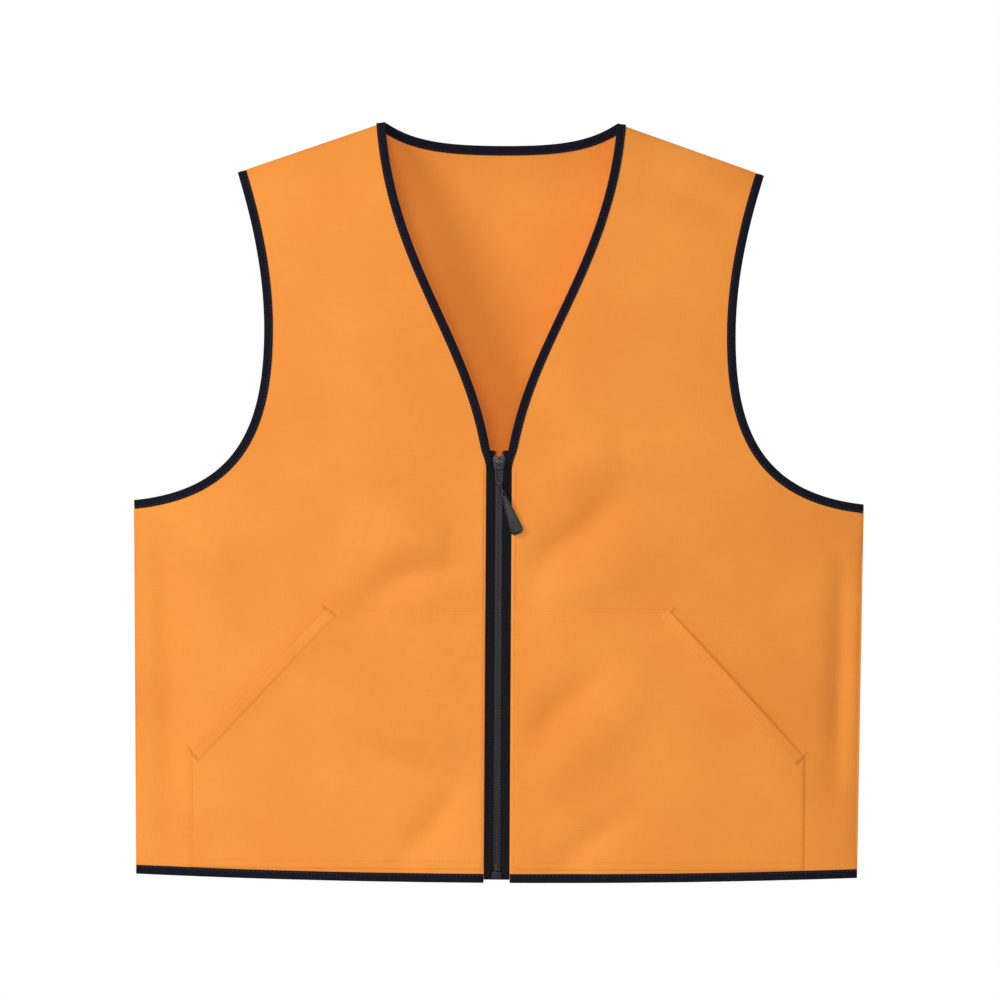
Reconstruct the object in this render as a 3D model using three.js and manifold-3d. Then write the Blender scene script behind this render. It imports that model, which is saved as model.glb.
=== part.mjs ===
// Sleeveless high-visibility vest with bound edges, a separating front zip and two slanted patch
// pockets, as it hangs from its shoulders. Millimetres, +Z up, the front faces -Y, and the wearer's
// left is +X. Pieces are laid out from the hem upwards, then the whole group is lowered so that the
// origin is midway between the two neck points.
import * as THREE from 'three';
import { mergeVertices } from 'three/addons/utils/BufferGeometryUtils.js';
import Module from 'manifold-3d';

const wasm = await Module();
wasm.setup();

// Driving dimensions: the flat outline
const neckHeight = 680; // hem to neck point
const neckHalf = 104; // centre to neck point
const neckDrop = 20; // neck points down to the middle of the back neckline
const vDepth = 308; // neck points down to the foot of the V
const vHalf = 6; // centre to the V's edge at its foot
const shoulderLength = 132; // across, from neck point to shoulder tip
const shoulderFall = 46; // neck point down to shoulder tip
const armholeHeight = 340; // hem to underarm
const armholeWaist = 211; // centre to the armhole's narrowest place
const chestHalf = 327; // centre to side seam at the underarm
const hemHalf = 323; // centre to side seam at the hem
const hemRise = 5; // the hem's corners above its middle

// Driving dimensions: how the curved edges bow, as the control points of their curves
const vHighLean = 11; // the V's upper control point inwards of the neck point
const vHighShare = 0.434; // its drop, as a share of the V's depth
const vLowLean = 14; // the V's lower control point outwards of the V's foot
const vLowShare = 0.63;
const waistRise = 145; // underarm up to the armhole's narrowest place
const underarmShare = 0.25; // the underarm's control point, out towards the side seam
const underarmRise = 9;
const waistPullBelow = 85; // the control points below and above the narrowest place
const waistPullAbove = 55;
const waistLean = 1;
const tipLean = 14; // the shoulder tip's control point, inwards and down
const tipDrop = 44;
const backNeckLean = 24; // the back neckline's control point inwards of the neck point
const backNeckShare = 0.8; // its drop, as a share of the neckline's

// Driving dimensions: how the vest hangs
const bodyDepth = 30; // middle of the front forward of the side seams, and the same at the back
const shoulderBlend = 80; // height over which front and back draw together at the shoulder
const foldHalf = 88; // centre to the line where each front folds open

// Driving dimensions: cloth and trim
const clothThickness = 0.8;
const tapeThickness = 0.7; // one layer of binding or zip tape
const bindingWidth = 8;
const gap = 0.3; // between touching pieces
const pocketTop = 245; // hem to the pocket's top edge
const pocketMouthInner = 152; // centre to the upper end of the slanted mouth
const pocketMouthOuter = 275; // centre to its lower end, which is the pocket's outer edge
const pocketMouthFoot = 113; // hem to the mouth's lower end
const tackLength = 10;
const tackWidth = 2.4;
const tackThickness = 0.6;
const allowanceWidth = 9; // seam allowance inside the shoulder and side seams
const allowanceThickness = 1.7;
const seamInset = 2; // from a binding to the end of an allowance

// Driving dimensions: the zip
const zipWindow = 11.7; // centre to the folded edge of each front
const tapeHalf = 16; // centre to the tape's sewn edge
const teethHalf = 2.6; // centre to the back of the teeth
const teethHeight = 2.2;
const teethFlare = 1.6; // how far the slider spreads each row
const zipRise = 14; // the V's foot up to the tape's upper end
const zipFoot = 3.5; // hem to the retainer box
const boxHeight = 6.5;
const boxHalf = 4.6;
const boxDepth = 4.4;
const pinLength = 12;
const stopHeight = 3.5;
const stopWidth = 1.9;
const socketFloor = 1; // under the pin, inside the box
const sliderLength = 12.5;
const sliderHalfTop = 5.9;
const sliderHalfFoot = 4.4;
const sliderPlate = 1;
const sliderClearance = 0.3;
const crownLength = 8;
const crownHalf = 1.1;
const crownBar = 1.1;
const crownHole = 3;
const crownDrop = 1.5; // the slider's upper end down to the crown
const crownRoot = 1; // how far the crown's feet run back to meet the slider's plate
const wedgeHalf = 1.2; // the slider's wedge at its upper end
const joinDepth = 0.2; // overlap that joins two solids of one piece

// Driving dimensions: the puller
const tabHalf = 3.5;
const tabLength = 21;
const tabThickness = 1.2;
const tabSlotHalf = 2.2;
const tabBar = 1.6; // height of the tab's upper and lower bars
const tabCorner = 1.2;
const gripLength = 48;
const gripLoopHalf = 1;
const gripLoopWall = 0.8;
const gripNeckHalf = 2.4; // a quarter of the way down
const gripNeckShare = 0.25;
const gripHalfFoot = 6;
const gripShoulder = 8; // the end's straight sides start this far above it
const gripShoulderInset = 0.4;
const gripRound = 2.5;
const gripSetBack = 0.84; // its back face behind the tab's middle
const gripThickness = 2.4;
const gripSwing = 25; // degrees it can lean either way on the tab
const gripLean = 21; // degrees from hanging straight, towards the wearer's left

// Worked out once
const chin = neckHeight - vDepth; // the V's foot
const zipTop = chin + zipRise;
const standoff = clothThickness / 2 + gap + tapeThickness + gap / 2;
const bindingThickness = clothThickness + 2 * gap + 2 * tapeThickness;
const frontPlane = -(bodyDepth + standoff); // middle of the cloth beside the zip
const tapePlane = frontPlane + clothThickness / 2 + gap + tapeThickness / 2;
const reach = 200; // cutting prisms run this far either side of the middle
const steps = 20; // straight pieces in each curve
const hemSteps = 8;

// --- solids -------------------------------------------------------------------------------------

function solidOf(geometry) {
  geometry.deleteAttribute('normal');
  geometry.deleteAttribute('uv');
  const merged = mergeVertices(geometry, 1e-4);
  return new wasm.Manifold(new wasm.Mesh({
    numProp: 3,
    vertProperties: new Float32Array(merged.attributes.position.array),
    triVerts: new Uint32Array(merged.index.array),
  }));
}

function geometryOf(solid) {
  const mesh = solid.getMesh();
  const geometry = new THREE.BufferGeometry();
  geometry.setAttribute('position', new THREE.BufferAttribute(mesh.vertProperties, 3));
  geometry.setIndex(new THREE.BufferAttribute(mesh.triVerts, 1));
  geometry.computeVertexNormals();
  return geometry;
}

// An outline of [x, z] points, cut straight through from yMin to yMax.
function prism(points, yMin = -reach, yMax = reach) {
  const shape = new THREE.Shape(points.map(([x, z]) => new THREE.Vector2(x, z)));
  const geometry = new THREE.ExtrudeGeometry(shape, { depth: yMax - yMin, bevelEnabled: false });
  geometry.translate(0, 0, -yMax);
  geometry.rotateX(Math.PI / 2);
  return solidOf(geometry);
}

function rectangle(xMin, xMax, zMin, zMax) {
  return [[xMin, zMin], [xMax, zMin], [xMax, zMax], [xMin, zMax]];
}

function block(xMin, xMax, yMin, yMax, zMin, zMax) {
  return prism(rectangle(xMin, xMax, zMin, zMax), yMin, yMax);
}

const mirrored = (points, side) => points.map(([x, z]) => [side * x, z]);

// --- outlines, drawn for the wearer's left --------------------------------------------------------

function curve(a, b, c, d) {
  const bezier = new THREE.CubicBezierCurve(...[a, b, c, d].map(([x, z]) => new THREE.Vector2(x, z)));
  return bezier.getPoints(steps).map((point) => [point.x, point.y]);
}

const shoulderTip = [neckHalf + shoulderLength, neckHeight - shoulderFall];
const underarm = [chestHalf, armholeHeight];
const shoulderLine = (x) => neckHeight
  - (shoulderFall / shoulderLength) * Math.max(0, Math.abs(x) - neckHalf);

// Each edge runs with the cloth on its left hand.
const vEdge = curve(
  [neckHalf, neckHeight],
  [neckHalf - vHighLean, neckHeight - vHighShare * vDepth],
  [vHalf + vLowLean, neckHeight - vLowShare * vDepth],
  [vHalf, chin],
);
const armholeMiddle = [armholeWaist, armholeHeight + waistRise];
const armholeEdge = [
  ...curve(
    underarm,
    [armholeWaist + underarmShare * (chestHalf - armholeWaist), armholeHeight + underarmRise],
    [armholeWaist + waistLean, armholeMiddle[1] - waistPullBelow],
    armholeMiddle,
  ),
  ...curve(
    armholeMiddle,
    [armholeWaist - waistLean, armholeMiddle[1] + waistPullAbove],
    [shoulderTip[0] - tipLean, shoulderTip[1] - tipDrop],
    shoulderTip,
  ).slice(1),
];
const backNeckHalf = curve(
  [neckHalf, neckHeight],
  [neckHalf - backNeckLean, neckHeight - backNeckShare * neckDrop],
  [neckHalf / 2, neckHeight - neckDrop],
  [0, neckHeight - neckDrop],
);
const backNeckEdge = [...backNeckHalf, ...mirrored(backNeckHalf, -1).reverse().slice(1)];
const hemAt = (x) => hemRise * (x / hemHalf) ** 2;

function hemEdge(xFrom, xTo) {
  return Array.from({ length: hemSteps + 1 }, (_, i) => {
    const x = xFrom + ((xTo - xFrom) * i) / hemSteps;
    return [x, hemAt(x)];
  });
}

// A path moved sideways, to its left for a positive distance.
function offsetPath(path, distance) {
  return path.map(([x, z], i) => {
    const before = path[Math.max(i - 1, 0)];
    const after = path[Math.min(i + 1, path.length - 1)];
    const dx = after[0] - before[0];
    const dz = after[1] - before[1];
    const length = Math.hypot(dx, dz);
    return [x - (distance * dz) / length, z + (distance * dx) / length];
  });
}

// The strip of cloth between two distances inside an edge.
function band(path, from, to) {
  return [...offsetPath(path, from), ...offsetPath(path, to).reverse()];
}

// --- cloth layers ---------------------------------------------------------------------------------

// Full depth across the fronts, falling in a straight line to nothing at the side seams.
const lens = (x) => Math.min(1, (chestHalf - Math.abs(x)) / (chestHalf - foldHalf));

// Columns and rows of points that the hanging vest's surfaces pass through, as [x, z, depth]. The
// lowest row lies below the hem, and the rest climb the shoulder, where the depth falls away.
const margin = 12; // the surfaces run this far past the side seams and the hem
const halfColumns = [foldHalf, neckHalf, ...[1, 2, 3].map((i) => neckHalf + (shoulderLength * i) / 3)];
const columns = [...halfColumns, chestHalf + margin].flatMap((x) => [-x, x]).sort((a, b) => a - b);
const rises = [0, 0, 0.2, 0.4, 0.6, 0.8, 1];
const grid = rises.map((rise, row) => columns.map((x) => [
  x,
  row === 0 ? -margin : shoulderLine(x) - shoulderBlend * (1 - rise),
  bodyDepth * lens(x) * (1 - rise ** 2),
]));

// A layer of the vest's front (face -1) or back (face 1), before it is cut to its outline. Both of
// its surfaces are split into the same triangles, so it is equally thick all over.
function layer(face, thickness, outward = 0) {
  const across = columns.length;
  const count = grid.length * across;
  const points = [-0.5, 0.5].flatMap((level) => grid.flat().flatMap(([x, z, depth]) => [
    x,
    face * (depth + standoff + outward) + level * thickness,
    z,
  ]));
  const triangles = [];
  const quad = (a, b, c, d) => triangles.push(a, b, c, a, c, d);
  for (let row = 0; row < grid.length - 1; row += 1) {
    for (let column = 0; column < across - 1; column += 1) {
      const corner = row * across + column;
      const ring = [corner, corner + 1, corner + across + 1, corner + across];
      if (columns[column] < 0) {
        ring.push(ring.shift());
      }
      quad(...ring);
      const [a, b, c, d] = ring.map((index) => index + count);
      quad(a, d, c, b);
    }
  }
  const wall = (a, b) => quad(a, a + count, b + count, b);
  const last = count - across;
  for (let column = 0; column < across - 1; column += 1) {
    wall(column, column + 1);
    wall(last + column + 1, last + column);
  }
  for (let row = 0; row < grid.length - 1; row += 1) {
    wall((row + 1) * across, row * across);
    wall(row * across + across - 1, (row + 1) * across + across - 1);
  }
  const geometry = new THREE.BufferGeometry();
  geometry.setAttribute('position', new THREE.Float32BufferAttribute(points, 3));
  geometry.setIndex(triangles);
  return solidOf(geometry);
}

const clothLayer = { '-1': layer(-1, clothThickness), 1: layer(1, clothThickness) };
const foldedLayer = { '-1': layer(-1, bindingThickness), 1: layer(1, bindingThickness) };
const hollowLayer = {
  '-1': layer(-1, clothThickness + 2 * gap),
  1: layer(1, clothThickness + 2 * gap),
};

const groovePast = 3; // the groove runs out past the strip's inner edge
const trimPast = 5; // the cut runs out past the cloth's raw edge

// Binding folded round an edge: a strip on both faces of the cloth, joined past its raw edge.
function binding(face, path, side) {
  const outer = foldedLayer[face].intersect(prism(mirrored(band(path, 0, bindingWidth), side)));
  const groove = prism(mirrored(band(path, tapeThickness, bindingWidth + groovePast), side));
  return outer.subtract(hollowLayer[face].intersect(groove));
}

// The space that a folded binding takes from the cloth's raw edge.
function trimmed(cloth, path, side) {
  return cloth.subtract(prism(mirrored(band(path, -trimPast, tapeThickness + gap), side)));
}

const frontOutline = [
  ...hemEdge(zipWindow, hemHalf),
  ...armholeEdge,
  ...vEdge,
  [zipWindow, chin],
];
const backOutline = [
  ...hemEdge(-hemHalf, hemHalf),
  ...armholeEdge,
  ...backNeckEdge,
  ...mirrored(armholeEdge, -1).reverse(),
];
const flapRegion = rectangle(-foldHalf + gap / 2, foldHalf - gap / 2, -reach, neckHeight + reach);
const sideRegion = rectangle(foldHalf + gap / 2, chestHalf + reach, -reach, neckHeight + reach);

// --- the scene ------------------------------------------------------------------------------------

const vest = new THREE.Group();
const orange = { color: 0xf19743, roughness: 0.82, metalness: 0 };
const black = { color: 0x17171f, roughness: 0.75, metalness: 0 };
const thread = { color: 0xe88c3c, roughness: 0.7, metalness: 0 };
const nylon = { color: 0x1a1a20, roughness: 0.45, metalness: 0 };
const enamel = { color: 0x202024, roughness: 0.35, metalness: 0.6 };

function add(name, solid, look) {
  const mesh = new THREE.Mesh(geometryOf(solid), new THREE.MeshStandardMaterial(look));
  mesh.name = name;
  vest.add(mesh);
}

// The back is one piece of cloth, bound along the neck, both armholes and the hem.
function addBack() {
  let cloth = clothLayer[1].intersect(prism(backOutline));
  const hem = hemEdge(-hemHalf, hemHalf);
  cloth = trimmed(cloth, backNeckEdge, 1);
  cloth = trimmed(cloth, hem, 1);
  cloth = trimmed(cloth, armholeEdge, 1);
  cloth = trimmed(cloth, armholeEdge, -1);
  add('back_panel', cloth, orange);
  add('neck_binding_back', binding(1, backNeckEdge, 1), black);
  add('hem_binding_back', binding(1, hem, 1), black);
}

// Each front is one piece of cloth that folds open along an upright line, so it is split there.
function addFront(side, name) {
  let cloth = clothLayer[-1].intersect(prism(mirrored(frontOutline, side)));
  const hem = hemEdge(zipWindow, hemHalf);
  cloth = trimmed(cloth, vEdge, side);
  cloth = trimmed(cloth, armholeEdge, side);
  cloth = trimmed(cloth, hem, side);
  const aboveFoot = prism(rectangle(-reach, reach, chin, neckHeight + reach));
  const pieces = [
    ['front_panel', cloth, orange],
    ['neck_binding', binding(-1, vEdge, side).intersect(aboveFoot), black],
    ['hem_binding', binding(-1, hem, side), black],
    ['pocket', pocket(side), orange],
  ];
  for (const [piece, solid, look] of pieces) {
    add(`${piece}_side_${name}`, solid.intersect(prism(mirrored(sideRegion, side))), look);
    add(`${piece}_flap_${name}`, solid.intersect(prism(flapRegion)), look);
  }
}

// The pocket is a patch on the outside of the front, open along its slanted edge. Its top and outer
// edges are sewn down, its foot is caught by the hem binding and its inner edge lies by the zip.
function pocket(side) {
  const foot = hemRise + bindingWidth + gap;
  const outline = [
    [zipWindow, foot],
    [pocketMouthOuter, foot],
    [pocketMouthOuter, pocketMouthFoot],
    [pocketMouthInner, pocketTop],
    [zipWindow, pocketTop],
  ];
  const sheet = layer(-1, clothThickness, clothThickness + gap);
  return sheet.intersect(prism(mirrored(outline, side)));
}

// A bar of close stitches lies across each end of the pocket's mouth.
function addTacks(side, name) {
  const along = new THREE.Vector2(
    pocketMouthInner - pocketMouthOuter,
    pocketTop - pocketMouthFoot,
  ).normalize();
  const sheet = layer(-1, tackThickness, 1.5 * clothThickness + 2 * gap + tackThickness / 2);
  const ends = { upper: [pocketMouthInner, pocketTop, -1], lower: [pocketMouthOuter, pocketMouthFoot, 1] };
  for (const [end, [x, z, inward]] of Object.entries(ends)) {
    const centre = [x + inward * along.x * tackWidth, z + inward * along.y * tackWidth];
    const corners = [[-1, -1], [1, -1], [1, 1], [-1, 1]].map(([u, v]) => [
      centre[0] + (u * along.x * tackWidth - v * along.y * tackLength) / 2,
      centre[1] + (u * along.y * tackWidth + v * along.x * tackLength) / 2,
    ]);
    add(`bar_tack_${end}_${name}`, sheet.intersect(prism(mirrored(corners, side))), thread);
  }
}

// Front and back are sewn together at the shoulder and the side, and the seam allowance lies inside.
function addSeams(side, name) {
  const inset = bindingWidth + seamInset;
  const shoulder = [neckHalf + inset, shoulderTip[0] - inset];
  const strip = [
    ...shoulder.map((x) => [x, shoulderLine(x) - gap]),
    ...shoulder.reverse().map((x) => [x, shoulderLine(x) - allowanceWidth]),
  ];
  const half = allowanceThickness / 2;
  add(`shoulder_seam_${name}`, prism(mirrored(strip, side), -half, half), orange);
  const [foot, top] = [hemRise + inset, armholeHeight - inset];
  const edgeAt = (z) => hemHalf + ((chestHalf - hemHalf) * z) / armholeHeight - gap;
  const sideStrip = [
    [edgeAt(foot), foot],
    [edgeAt(top), top],
    [edgeAt(top) - allowanceWidth, top],
    [edgeAt(foot) - allowanceWidth, foot],
  ];
  add(`side_seam_${name}`, prism(mirrored(sideStrip, side), -half, half), orange);
}

function addArmhole(side, name) {
  add(`armhole_binding_front_${name}`, binding(-1, armholeEdge, side), black);
  add(`armhole_binding_back_${name}`, binding(1, armholeEdge, side), black);
}

// Each half of the zip: a woven tape sewn behind the front's edge, a row of teeth along it, and a
// stop at its upper end. The rows part inside the slider.
const sliderTop = zipTop - stopHeight - 3 * gap;
const sliderFoot = sliderTop - sliderLength;
const boxTop = zipFoot + boxHeight;
const tapeInner = teethHalf + gap;
const vFootSlope = vLowLean / ((1 - vLowShare) * vDepth);
const tapeTopHalf = vHalf + zipRise * vFootSlope - gap;
const tapeFaces = [tapePlane - tapeThickness / 2, tapePlane + tapeThickness / 2];
const teethFaces = [tapePlane - teethHeight / 2, tapePlane + teethHeight / 2];

function addZipHalf(side, name) {
  const tape = [
    [tapeInner, zipFoot],
    [zipWindow - gap, zipFoot],
    [zipWindow - gap, hemRise + bindingWidth + gap],
    [tapeHalf, hemRise + bindingWidth + gap],
    [tapeHalf, chin - gap],
    [vHalf - gap, chin - gap],
    [tapeTopHalf, zipTop],
    [tapeInner + teethFlare, zipTop],
    [tapeInner + teethFlare, sliderTop],
    [tapeInner, sliderFoot],
  ];
  const teethFoot = side > 0 ? boxTop + gap : zipFoot + pinLength + gap;
  const row = [
    [gap / 2, teethFoot],
    [teethHalf, teethFoot],
    [teethHalf, sliderFoot],
    [teethHalf + teethFlare, sliderTop],
    [gap / 2 + teethFlare, sliderTop],
    [gap / 2, sliderFoot],
  ];
  const stopOuter = tapeInner + teethFlare - gap;
  const stop = rectangle(stopOuter - stopWidth, stopOuter, sliderTop + 2 * gap, zipTop - gap);
  const beside = block(-boxHalf - gap, boxHalf + gap, -reach, reach, -reach, boxTop + gap);
  add(`zip_tape_${name}`, prism(mirrored(tape, side), ...tapeFaces).subtract(beside), black);
  add(`zip_teeth_${name}`, prism(mirrored(row, side), ...teethFaces), nylon);
  add(`top_stop_${name}`, prism(mirrored(stop, side), ...teethFaces), nylon);
}

// The zip's foot: a box moulded to the left tape, and a pin on the right one that slips into it.
function addZipFoot() {
  const box = block(-boxHalf, boxHalf, tapePlane - boxDepth / 2, tapePlane + boxDepth / 2, zipFoot, boxTop);
  const socket = block(-teethHalf - gap, gap / 2, teethFaces[0] - gap, teethFaces[1] + gap,
    zipFoot + socketFloor - gap, boxTop + gap);
  add('retainer_box', box.subtract(socket), nylon);
  const pin = block(-teethHalf, -gap / 2, ...teethFaces, zipFoot + socketFloor, zipFoot + pinLength);
  add('insertion_pin', pin, nylon);
}

// The slider: two plates joined by a wedge between the rows, with lips that hold the teeth in. The
// wedge starts above the place that the pin's upper end reaches when the slider is at the foot.
function addSlider() {
  const taper = (half, halfTop) => [
    [-half, sliderFoot],
    [half, sliderFoot],
    [halfTop, sliderTop],
    [-halfTop, sliderTop],
  ];
  const channelHalf = teethHeight / 2 + sliderClearance;
  const half = channelHalf + sliderPlate;
  const slotHalf = tapeThickness / 2 + sliderClearance;
  const wedgeFoot = sliderFoot + pinLength - boxHeight;
  const wedge = [[0, wedgeFoot], [wedgeHalf, sliderTop], [-wedgeHalf, sliderTop]];
  const shell = prism(taper(sliderHalfFoot, sliderHalfTop), tapePlane - half, tapePlane + half);
  const mouthFoot = teethHalf + sliderClearance;
  const mouthTop = mouthFoot + teethFlare;
  const channel = prism(
    [
      [-mouthFoot, sliderFoot - gap],
      [mouthFoot, sliderFoot - gap],
      [mouthTop, sliderTop + gap],
      [-mouthTop, sliderTop + gap],
    ],
    tapePlane - channelHalf,
    tapePlane + channelHalf,
  );
  const slot = block(-reach, reach, tapePlane - slotHalf, tapePlane + slotHalf,
    sliderFoot - gap, sliderTop + gap);
  const coreHalf = channelHalf + joinDepth;
  const core = prism(wedge, tapePlane - coreHalf, tapePlane + coreHalf);
  add('slider_body', shell.subtract(channel).subtract(slot).add(core), enamel);
  return tapePlane - half;
}

// The crown is a small arch along the slider's front, and the tab's upper bar passes under it.
function addPuller(sliderFace) {
  const crownTop = sliderTop - crownDrop;
  const crownFace = sliderFace - gap;
  const arch = block(-crownHalf, crownHalf, crownFace - crownHole - crownBar, crownFace,
    crownTop - crownLength, crownTop);
  const hole = block(-reach, reach, crownFace - crownHole, crownFace + gap,
    crownTop - crownLength + crownBar, crownTop - crownBar);
  const feet = [[crownTop - crownBar, crownTop], [crownTop - crownLength, crownTop - crownLength + crownBar]];
  let crown = arch.subtract(hole);
  for (const [low, high] of feet) {
    crown = crown.add(block(-crownHalf, crownHalf, crownFace - crownRoot, crownFace, low, high));
  }
  add('slider_crown', crown, enamel);

  const barY = crownFace - crownHole / 2;
  const barZ = crownTop - crownLength / 2;
  const tabTop = barZ + tabBar / 2;
  const tabFoot = tabTop - tabLength;
  const tab = new THREE.Shape();
  const corner = tabCorner;
  tab.moveTo(-tabHalf + corner, tabFoot);
  tab.lineTo(tabHalf - corner, tabFoot);
  tab.absarc(tabHalf - corner, tabFoot + corner, corner, -Math.PI / 2, 0);
  tab.absarc(tabHalf - corner, tabTop - corner, corner, 0, Math.PI / 2);
  tab.absarc(corner - tabHalf, tabTop - corner, corner, Math.PI / 2, Math.PI);
  tab.absarc(corner - tabHalf, tabFoot + corner, corner, Math.PI, 1.5 * Math.PI);
  const outline = tab.getPoints(3).map((point) => [point.x, point.y]);
  const frame = prism(outline, barY - tabThickness / 2, barY + tabThickness / 2);
  const slot = block(-tabSlotHalf, tabSlotHalf, -reach, reach, tabFoot + tabBar, tabTop - tabBar);
  add('pull_tab', frame.subtract(slot), enamel);

  addGrip(barY, tabFoot + tabBar / 2);
}

// The moulded grip loops round the tab's lower bar and widens to a rounded end.
function addGrip(barY, pivotZ) {
  const swing = THREE.MathUtils.degToRad(gripSwing);
  const holeHalf = tabBar / 2 / Math.cos(swing) + gripLoopHalf * Math.tan(swing) + gap / 2;
  const holeDepth = tabThickness / 2 + gap / 2;
  const loopTop = holeHalf + gripLoopWall;
  const loopDepth = holeDepth + gripLoopWall;
  const loop = block(-gripLoopHalf, gripLoopHalf, -loopDepth, loopDepth, -2 * loopTop, loopTop);
  const hole = block(-reach, reach, -holeDepth, holeDepth, -holeHalf, holeHalf);
  const half = [
    [gripLoopHalf, -holeHalf - gap],
    [gripNeckHalf, -gripNeckShare * gripLength],
    [gripHalfFoot - gripShoulderInset, gripShoulder - gripLength],
    [gripHalfFoot, gripRound - gripLength],
    [gripHalfFoot - gripRound, -gripLength],
  ];
  const outline = [...half, ...mirrored(half, -1).reverse()];
  const blade = prism(outline, gripSetBack - gripThickness, gripSetBack);
  const look = new THREE.MeshStandardMaterial(nylon);
  const mesh = new THREE.Mesh(geometryOf(loop.subtract(hole).add(blade)), look);
  mesh.name = 'pull_grip';
  mesh.position.set(0, barY, pivotZ);
  mesh.rotation.y = -THREE.MathUtils.degToRad(gripLean);
  vest.add(mesh);
}

addBack();
for (const [side, name] of [[1, 'left'], [-1, 'right']]) {
  addFront(side, name);
  addTacks(side, name);
  addSeams(side, name);
  addArmhole(side, name);
  addZipHalf(side, name);
}
addZipFoot();
addPuller(addSlider());
vest.position.z = -neckHeight;

export default vest;
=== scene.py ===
import math

import bmesh
import bpy
import numpy as np
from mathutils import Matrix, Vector
from mathutils.geometry import delaunay_2d_cdt, tessellate_polygon


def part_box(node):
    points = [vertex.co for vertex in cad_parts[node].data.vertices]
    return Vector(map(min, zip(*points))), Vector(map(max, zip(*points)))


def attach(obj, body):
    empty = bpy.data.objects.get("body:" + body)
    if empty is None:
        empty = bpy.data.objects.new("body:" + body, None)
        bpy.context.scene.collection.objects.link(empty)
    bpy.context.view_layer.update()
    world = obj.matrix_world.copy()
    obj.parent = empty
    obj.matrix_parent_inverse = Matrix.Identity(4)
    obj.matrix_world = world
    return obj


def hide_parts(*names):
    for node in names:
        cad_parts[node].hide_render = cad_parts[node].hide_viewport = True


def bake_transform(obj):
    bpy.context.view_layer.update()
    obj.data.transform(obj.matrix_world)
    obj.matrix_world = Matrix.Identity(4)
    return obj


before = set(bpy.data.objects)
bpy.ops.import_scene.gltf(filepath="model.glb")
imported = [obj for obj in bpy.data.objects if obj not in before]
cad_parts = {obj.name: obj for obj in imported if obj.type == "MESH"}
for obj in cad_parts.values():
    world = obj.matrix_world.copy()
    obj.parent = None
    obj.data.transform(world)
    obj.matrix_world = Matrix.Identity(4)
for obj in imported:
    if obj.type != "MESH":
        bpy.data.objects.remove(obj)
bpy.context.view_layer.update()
mm = 0.001

# --- Camera ---------------------------------------------------------------------------------------
# It stands level with the middle of the vest, straight in front of it, and far enough off that the
# cloth's depth hardly changes its outline. It is tipped a little, as the vest hangs a little askew.
lens = 300
sensor = 36
view_width = 0.893
view_middle = (1.0 * mm, -338 * mm)
tip = math.radians(-0.35)
front_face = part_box("front_panel_flap_left")[0].y
camera = bpy.data.objects.new("camera", bpy.data.cameras.new("camera"))
camera.data.lens = lens
camera.data.sensor_width = sensor
camera.location = (view_middle[0], front_face - view_width * lens / sensor, view_middle[1])
camera.rotation_euler = (math.pi / 2, tip, 0)
bpy.context.scene.collection.objects.link(camera)
bpy.context.scene.camera = camera

# --- Back panel -----------------------------------------------------------------------------------
# One piece of plain-woven orange polyester, cut to the neckline, both armholes, straight sides and
# a nearly straight hem. It hangs from the shoulder seams and bellies out behind the side seams.
cloth_thickness = 0.5 * mm
chest_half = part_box("back_panel")[1].x
hem_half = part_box("hem_binding_back")[1].x
hem_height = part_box("hem_binding_back")[0].z
hem_rise = 5 * mm
body_depth = 30 * mm
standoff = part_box("back_panel")[1].y - body_depth - 0.4 * mm
binding_width = 8 * mm
neck_half = 104 * mm
neck_drop = 20 * mm
shoulder_length = 132 * mm
shoulder_fall = 46 * mm
shoulder_blend = 80 * mm
underarm_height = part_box("armhole_binding_front_left")[0].z + binding_width
armhole_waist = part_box("armhole_binding_front_left")[0].x + binding_width
waist_height = underarm_height + 145 * mm
shoulder_tip = (neck_half + shoulder_length, -shoulder_fall)
fold_height = 2.4


def curve(start, leave, arrive, end, count=40):
    """Points along a cubic curve, drawn flat as [across, up]."""
    t = np.linspace(0, 1, count + 1)[:, None]
    ends = (1 - t) ** 3 * np.array(start) + t ** 3 * np.array(end)
    return ends + 3 * t * (1 - t) * ((1 - t) * np.array(leave) + t * np.array(arrive))


def even(path, spacing):
    """The same path with its points evenly spaced."""
    path = np.array(path, float)
    reached = np.r_[0, np.cumsum(np.hypot(*np.diff(path, axis=0).T))]
    wanted = np.linspace(0, reached[-1], max(2, round(reached[-1] / spacing) + 1))
    return np.stack([np.interp(wanted, reached, path[:, i]) for i in (0, 1)], 1)


def inward(path):
    """The direction to a path's left at each of its points, where the cloth lies."""
    ahead = np.gradient(path, axis=0)
    return np.stack([-ahead[:, 1], ahead[:, 0]], 1) / np.hypot(*ahead.T)[:, None]


def inset(path, distance):
    """A path moved into the cloth."""
    return path + distance * inward(path)


def hem_line(x_from, x_to):
    """The hem between two places across the vest, its corners a little above its middle."""
    x = np.linspace(x_from, x_to, 41)
    return np.stack([x, hem_height + hem_rise * (x / hem_half) ** 2], 1)


def mirrored(path):
    """A left-hand path drawn for the right, still with the cloth on its left."""
    return (path * (-1, 1))[::-1]


armhole_edge = np.vstack([
    curve(
        (chest_half, underarm_height),
        (armhole_waist + 0.25 * (chest_half - armhole_waist), underarm_height + 9 * mm),
        (armhole_waist + 1 * mm, waist_height - 85 * mm),
        (armhole_waist, waist_height),
    ),
    curve(
        (armhole_waist, waist_height),
        (armhole_waist - 1 * mm, waist_height + 55 * mm),
        (shoulder_tip[0] - 14 * mm, shoulder_tip[1] - 44 * mm),
        shoulder_tip,
    )[1:],
])
back_neck_half = curve(
    (neck_half, 0),
    (neck_half - 24 * mm, -0.8 * neck_drop),
    (neck_half / 2, -neck_drop),
    (0, -neck_drop),
)
back_neck_edge = np.vstack([back_neck_half, mirrored(back_neck_half)[1:]])


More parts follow.
